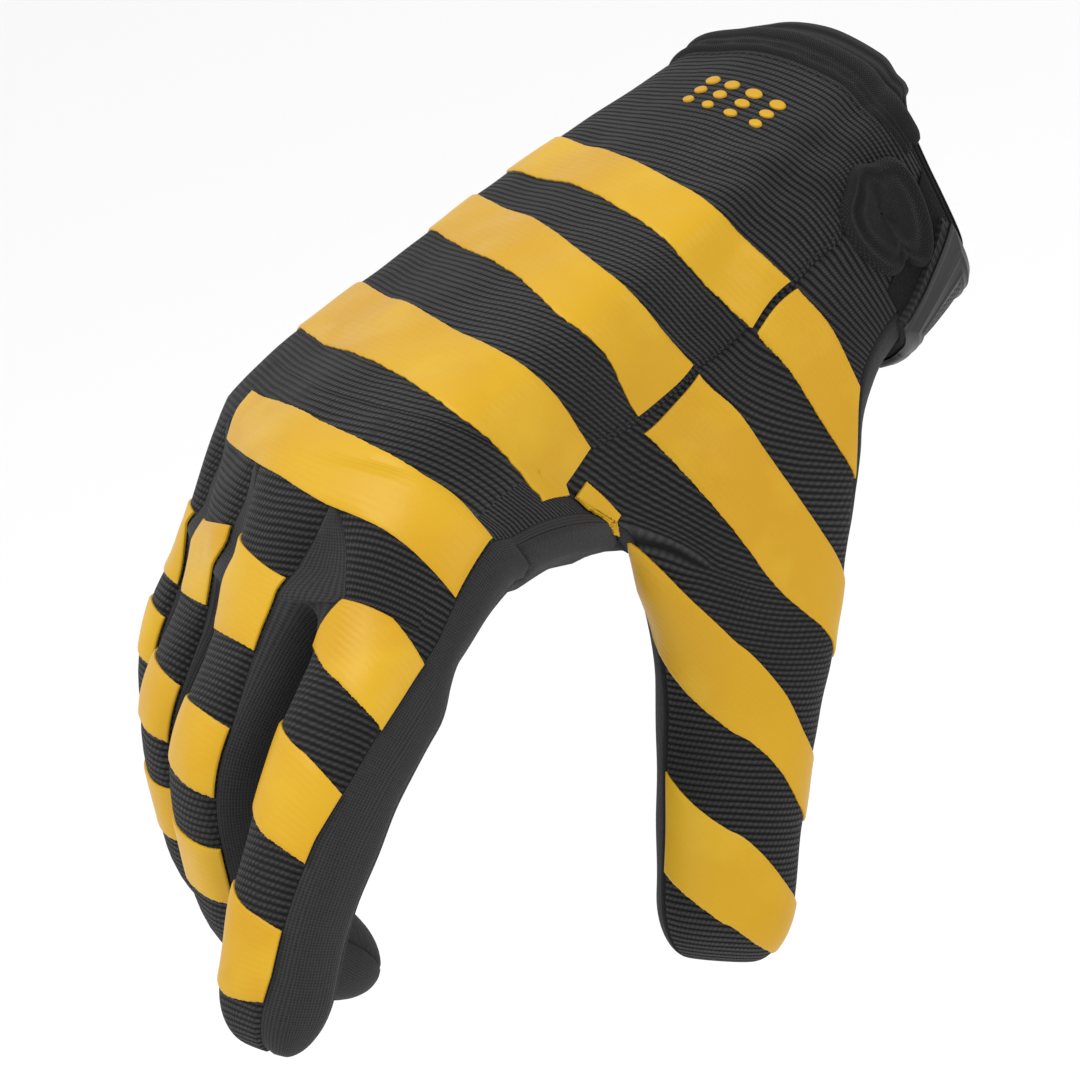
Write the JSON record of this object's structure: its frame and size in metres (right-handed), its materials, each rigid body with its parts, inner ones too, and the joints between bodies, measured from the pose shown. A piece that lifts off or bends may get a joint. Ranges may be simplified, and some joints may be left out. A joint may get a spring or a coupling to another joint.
{
  "type": "motocross glove",
  "caption": "Right-hand motocross glove in its worn shape: black rib-knit back with yellow printed stripes, suede palm, knit finger sides and a wrist strap with a rubber badge",
  "frame": {"origin": "centre of the wrist opening, at the bound edge of the back", "axes": "+X towards the thumb side, -Y from the wrist towards the fingertips, +Z out of the back of the hand"},
  "size_m": [0.1132, 0.2138, 0.1479],
  "materials": {
    "rib_knit": "matte black rib knit",
    "yellow_film": "satin yellow printed film",
    "suede": "matte black suede",
    "stretch_knit": "matte black fine stretch knit",
    "binding": "matte black jersey binding",
    "elastic": "matte black woven elastic",
    "rubber": "satin black moulded rubber"
  },
  "bodies": {
    "root": {"back_panel": "rib_knit", "back_stripe_1": "yellow_film", "back_stripe_2": "yellow_film", "back_stripe_3": "yellow_film", "back_stripe_4": "yellow_film", "binding_curl": "binding", "cuff_binding": "binding", "fourchette_little_ring": "stretch_knit", "fourchette_middle_index": "stretch_knit", "fourchette_ring_middle": "stretch_knit", "index_side_panel": "stretch_knit", "index_stripe_1": "yellow_film", "index_stripe_2": "yellow_film", "index_stripe_3": "yellow_film", "little_side_panel": "stretch_knit", "little_stripe_1": "yellow_film", "little_stripe_2": "yellow_film", "middle_stripe_1": "yellow_film", "middle_stripe_2": "yellow_film", "middle_stripe_3": "yellow_film", "palm_panel": "suede", "ring_stripe_1": "yellow_film", "ring_stripe_2": "yellow_film", "ring_stripe_3": "yellow_film", "strap_badge": "rubber", "thumb_back_panel": "rib_knit", "thumb_palm_panel": "suede", "thumb_stripe_1": "yellow_film", "thumb_stripe_2": "yellow_film", "thumb_stripe_3": "yellow_film", "thumb_stripe_4": "yellow_film", "wrist_band": "elastic", "wrist_strap": "elastic"}
  },
  "joints": []
}
